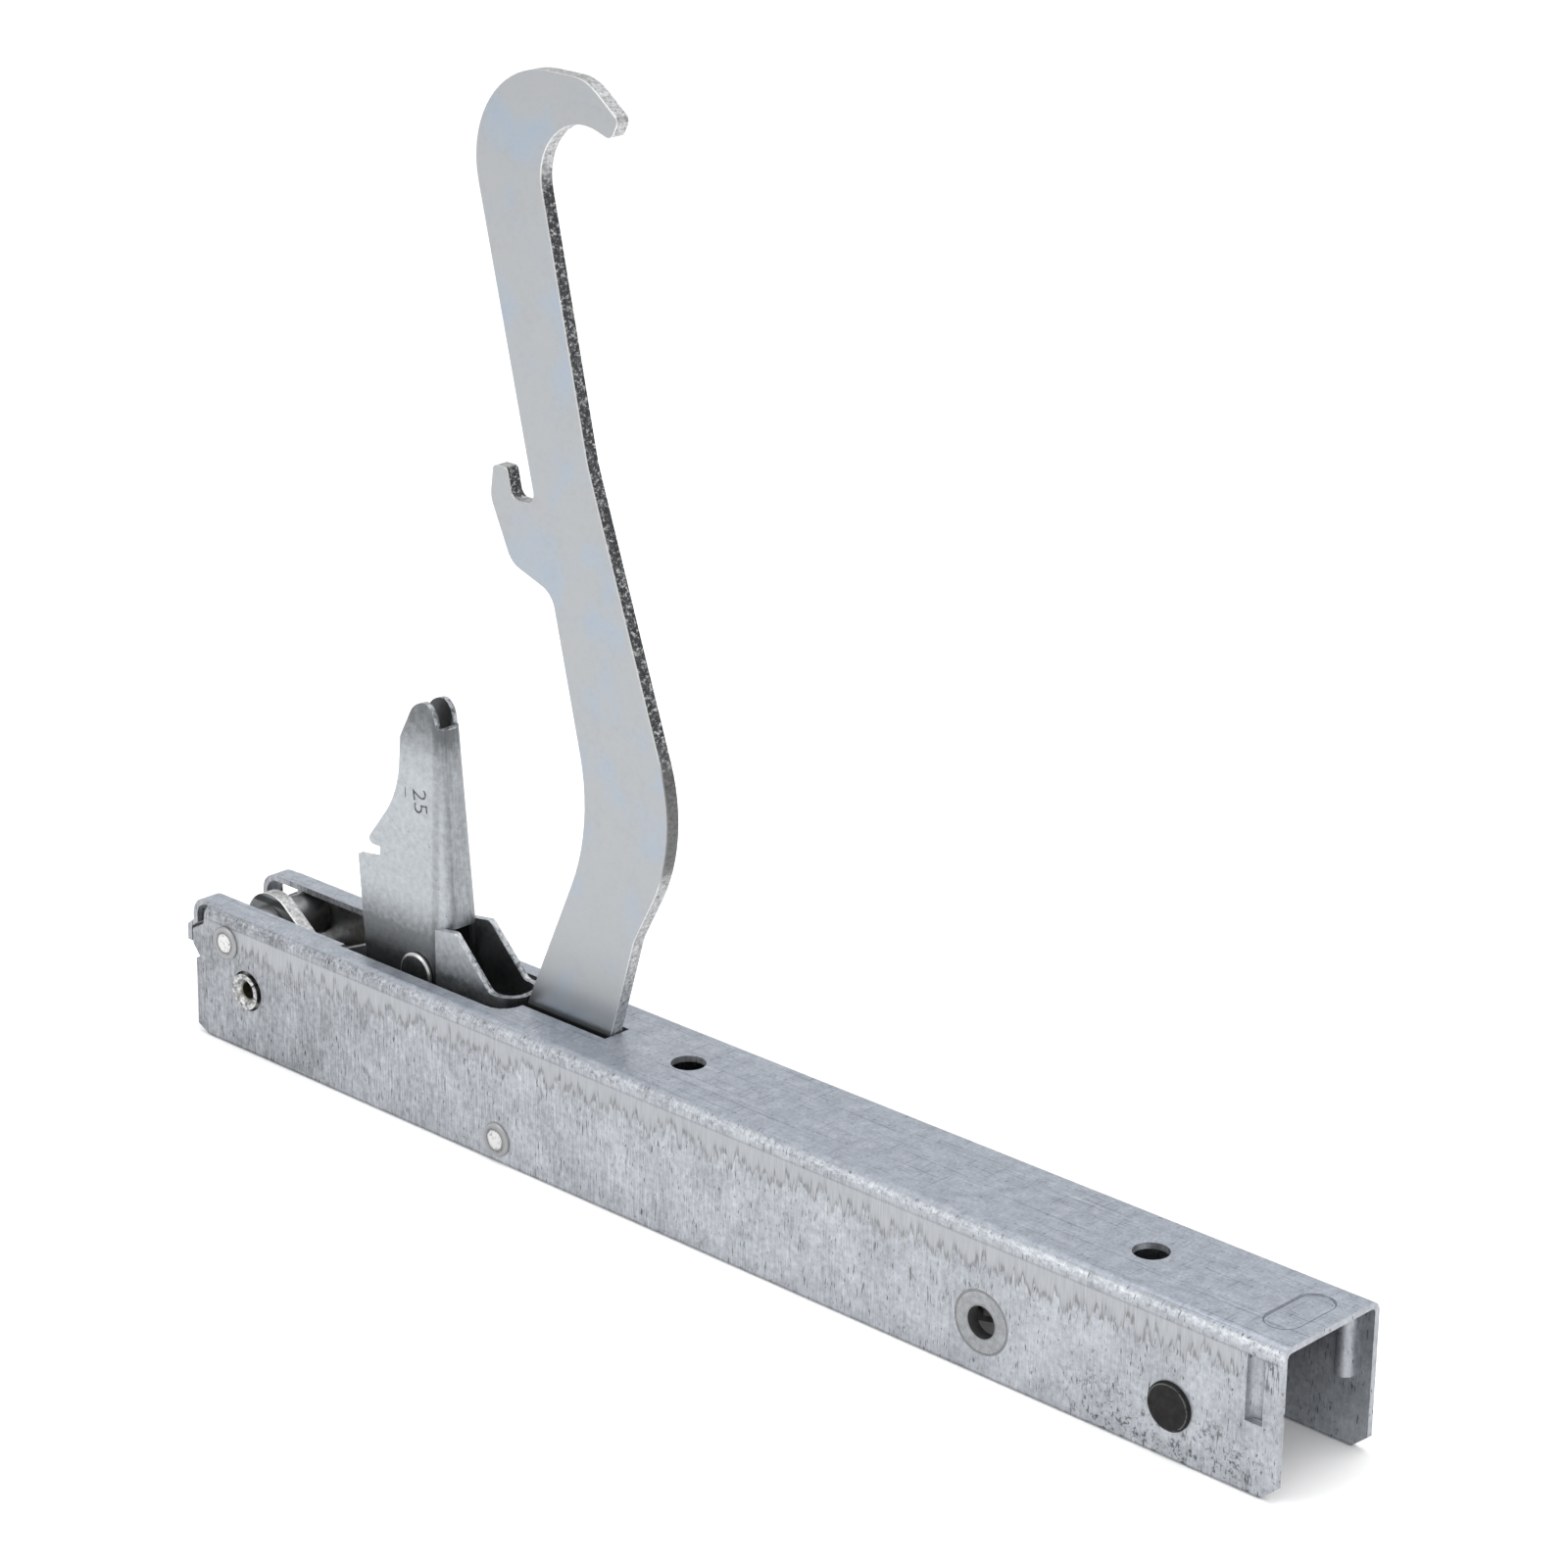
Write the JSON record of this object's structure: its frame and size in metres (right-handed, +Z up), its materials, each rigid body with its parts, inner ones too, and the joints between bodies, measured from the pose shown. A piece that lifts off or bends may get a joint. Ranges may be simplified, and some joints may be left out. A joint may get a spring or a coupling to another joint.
{
  "type": "oven door hinge",
  "caption": "Oven door hinge: a folded steel channel with a spring inside, a tall hooked arm that swings on a rivet, and a folded locking catch on the arm.",
  "frame": {"origin": "middle of the overall length, on the arm's middle plane, level with the lower edges of the channel's walls", "axes": "+X along the channel away from the arm's pivot, +Y across the channel, +Z up from the channel towards the hook"},
  "size_m": [0.2762, 0.0274, 0.2064],
  "materials": {
    "galvanised_channel": "galvanised, mottled and lightly streaked",
    "plated_arm": "bright zinc plated, scuffed, sheared rims",
    "plated_catch": "satin plated",
    "catch_rivet": "turned, dark in the middle",
    "rivet_steel": "peened",
    "hollow_rivet_steel": "flared, slightly cracked rim",
    "bush_steel": "turned",
    "black_steel": "black oxide",
    "spring_steel": "oiled",
    "roller_steel": "ground",
    "inner_steel": "plain, greased"
  },
  "bodies": {
    "housing": {"channel": "galvanised_channel", "cheek_near": "inner_steel", "cheek_far": "inner_steel", "arm_pivot_rivet": "rivet_steel", "pivot_spacer_near": "inner_steel", "pivot_spacer_far": "inner_steel", "hollow_rivet_near": "hollow_rivet_steel", "hollow_rivet_far": "hollow_rivet_steel", "lower_rivet": "rivet_steel", "guide_bush_near": "inner_steel", "guide_bush_far": "inner_steel", "anchor_pin": "black_steel", "rear_spring_seat": "inner_steel", "guide_rod": "inner_steel", "spring": "spring_steel", "mounting_bush_near": "bush_steel", "mounting_bush_far": "bush_steel"},
    "arm": {"hook_arm": "plated_arm", "catch_pin": "catch_rivet", "catch_washer_near": "inner_steel", "catch_washer_far": "inner_steel"},
    "lever": {"catch": "plated_catch"},
    "slide": {"slide_bar_near": "inner_steel", "slide_bar_far": "inner_steel", "thrust_block": "inner_steel", "thrust_pin": "inner_steel", "roller_axle": "inner_steel"},
    "roller": {"cam_roller": "roller_steel"}
  },
  "joints": [
    {"name": "arm_swing", "type": "hinge", "parent": "housing", "child": "arm", "pos_m": [-0.1241, 0, 0.02156], "axis": [0, -1, 0], "range_deg": [0, 88], "stiffness_Nm_per_rad": 0.62, "springref_deg": -57.3},
    {"name": "catch_flip", "type": "hinge", "parent": "arm", "child": "lever", "pos_m": [-0.0775, 0, 0.0264], "axis": [0, -1, 0], "range_deg": [0, 80]},
    {"name": "push_slide", "type": "slide", "parent": "housing", "child": "slide", "axis": [1, 0, 0], "range_m": [0, 0.0136], "deforming": ["spring"]},
    {"name": "roller_spin", "type": "hinge", "parent": "slide", "child": "roller", "pos_m": [-0.1193, 0, 0.01276], "axis": [0, 1, 0], "continuous": true}
  ],
  "couplings": [
    {"joint": "push_slide", "follows": "arm_swing", "m_per_rad": 0.0088}
  ]
}
